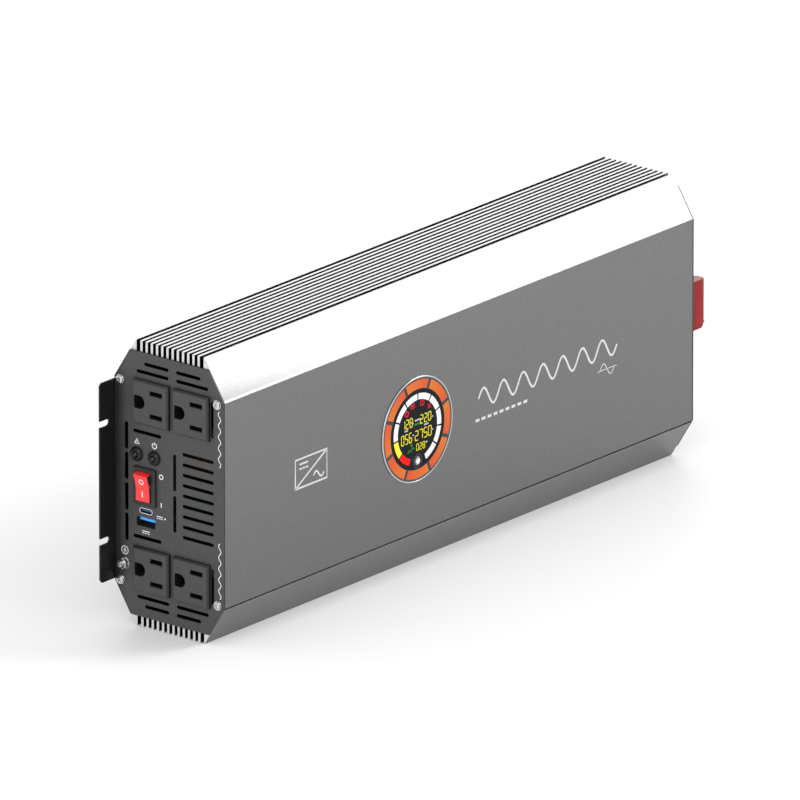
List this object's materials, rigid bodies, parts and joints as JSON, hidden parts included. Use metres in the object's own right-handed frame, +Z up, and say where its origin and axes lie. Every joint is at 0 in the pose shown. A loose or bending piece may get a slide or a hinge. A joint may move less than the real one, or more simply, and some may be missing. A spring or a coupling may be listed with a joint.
{
  "type": "power inverter",
  "caption": "Power inverter in a flat octagonal finned aluminium body, with four mains outlets, rocker switch, data ports, round display, fans and capped battery bars.",
  "frame": {"origin": "middle of the flat wall face of the body", "axes": "+X from the outlet end to the battery end, +Y out of the wall face, +Z up along the height of the body"},
  "size_m": [0.4323, 0.0758, 0.1588],
  "materials": {
    "body_aluminium": "bead-blasted grey anodised extrusion",
    "panel_steel": "fine-texture black powder coat",
    "screw_steel": "zinc plated steel",
    "outlet_plastic": "moulded black nylon",
    "contact_brass": "stamped spring brass",
    "black_plastic": "moulded black plastic",
    "indicator_lens": "clear smoked epoxy",
    "rocker_red": "moulded red plastic",
    "port_shell": "nickel plated steel",
    "port_blue": "moulded blue plastic",
    "board_green": "glass-epoxy board with green solder mask",
    "ring_silver": "satin chrome",
    "display_slate": "moulded slate plastic",
    "display_glass": "dark tinted acrylic",
    "button_white": "moulded white plastic",
    "copper": "tin-free copper",
    "cap_red": "dipped soft vinyl",
    "cap_black": "dipped soft vinyl",
    "ferrite": "sintered ferrite",
    "winding": "taped copper winding",
    "capacitor_sleeve": "shrunk vinyl sleeve",
    "spreader_aluminium": "milled bar"
  },
  "bodies": {
    "housing": {"front_shell": "body_aluminium", "rear_shell": "body_aluminium", "output_panel": "panel_steel", "input_panel": "panel_steel", "output_panel_screws": "screw_steel", "input_panel_screws": "screw_steel", "outlet_housing_1": "outlet_plastic", "outlet_housing_2": "outlet_plastic", "outlet_housing_3": "outlet_plastic", "outlet_housing_4": "outlet_plastic", "outlet_line_contacts": "contact_brass", "outlet_neutral_contacts": "contact_brass", "outlet_earth_contacts": "contact_brass", "fault_bezel": "black_plastic", "power_bezel": "black_plastic", "fault_led": "indicator_lens", "power_led": "indicator_lens", "switch_housing": "black_plastic", "switch_terminals": "contact_brass", "usb_c_port": "port_shell", "usb_c_tongue": "port_blue", "usb_a_port": "port_shell", "usb_a_tongue": "port_blue", "usb_board": "board_green", "earth_stud": "screw_steel", "earth_washer": "screw_steel", "earth_nut": "screw_steel", "display_ring": "ring_silver", "display_bezel": "display_slate", "display_lens": "display_glass", "display_board": "board_green", "upper_fan_frame": "black_plastic", "lower_fan_frame": "black_plastic", "upper_fan_guard": "screw_steel", "lower_fan_guard": "screw_steel", "fan_screws": "screw_steel", "positive_bar": "copper", "negative_bar": "copper", "positive_bush": "black_plastic", "negative_bush": "black_plastic", "main_board": "board_green", "board_screws": "screw_steel", "transformer_core_1": "ferrite", "transformer_core_2": "ferrite", "transformer_winding_1": "winding", "transformer_winding_2": "winding", "output_inductor": "copper", "bus_capacitor_1": "capacitor_sleeve", "bus_capacitor_2": "capacitor_sleeve", "input_capacitors": "capacitor_sleeve", "upper_heat_spreader": "spreader_aluminium", "lower_heat_spreader": "spreader_aluminium", "transistors": "black_plastic", "transistor_clamps": "screw_steel"},
    "switch_rocker": {"switch_rocker": "rocker_red"},
    "display_button": {"display_button": "button_white"},
    "upper_fan_rotor": {"upper_fan_rotor": "black_plastic"},
    "lower_fan_rotor": {"lower_fan_rotor": "black_plastic"},
    "positive_cap": {"positive_cap": "cap_red"},
    "negative_cap": {"negative_cap": "cap_black"}
  },
  "joints": [
    {"name": "switch_rocker_tilt", "type": "hinge", "parent": "housing", "child": "switch_rocker", "pos_m": [-0.1972, -0.02135, -0.0002], "axis": [0, 1, 0], "range_deg": [0, 16]},
    {"name": "display_button_press", "type": "slide", "parent": "housing", "child": "display_button", "axis": [0, 1, 0], "range_m": [0, 0.0005], "stiffness_N_per_m": 800, "springref_m": -0.0005},
    {"name": "upper_fan_spin", "type": "hinge", "parent": "housing", "child": "upper_fan_rotor", "pos_m": [0.196, -0.0373, 0.0401], "axis": [1, 0, 0], "continuous": true},
    {"name": "lower_fan_spin", "type": "hinge", "parent": "housing", "child": "lower_fan_rotor", "pos_m": [0.196, -0.0373, -0.0401], "axis": [1, 0, 0], "continuous": true},
    {"name": "positive_cap_slide", "type": "slide", "parent": "housing", "child": "positive_cap", "axis": [1, 0, 0], "range_m": [0, 0.035]},
    {"name": "negative_cap_slide", "type": "slide", "parent": "housing", "child": "negative_cap", "axis": [1, 0, 0], "range_m": [0, 0.035]}
  ]
}
